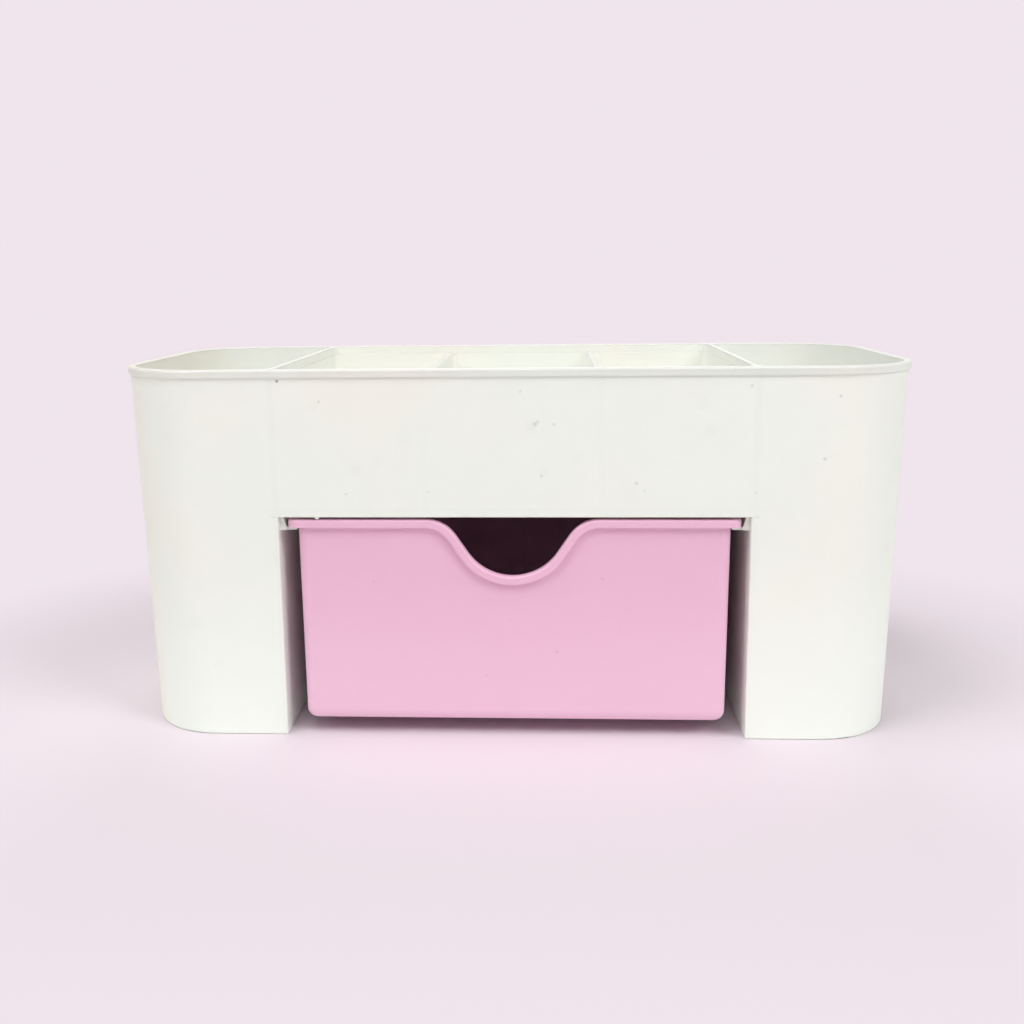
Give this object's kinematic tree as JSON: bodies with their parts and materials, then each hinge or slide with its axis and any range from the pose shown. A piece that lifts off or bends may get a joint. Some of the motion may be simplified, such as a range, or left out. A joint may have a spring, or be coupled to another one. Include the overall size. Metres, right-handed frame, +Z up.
{
  "type": "desk organizer with a drawer",
  "caption": "Moulded desktop organizer for makeup: round-ended cups and open compartments above a pull-out drawer with a finger scoop.",
  "frame": {"origin": "middle of the footprint, on the surface that the box stands on", "axes": "+X to the right along the front, +Y to the back, +Z up; the drawer opens towards -Y"},
  "size_m": [0.223, 0.0946, 0.1055],
  "materials": {
    "housing_plastic": "satin ivory-white moulded plastic",
    "drawer_plastic": "satin pale pink moulded plastic"
  },
  "bodies": {
    "housing": {"housing": "housing_plastic"},
    "drawer": {"drawer": "drawer_plastic"}
  },
  "joints": [
    {"name": "drawer_slide", "type": "slide", "parent": "housing", "child": "drawer", "axis": [0, -1, 0], "range_m": [0, 0.07]}
  ]
}
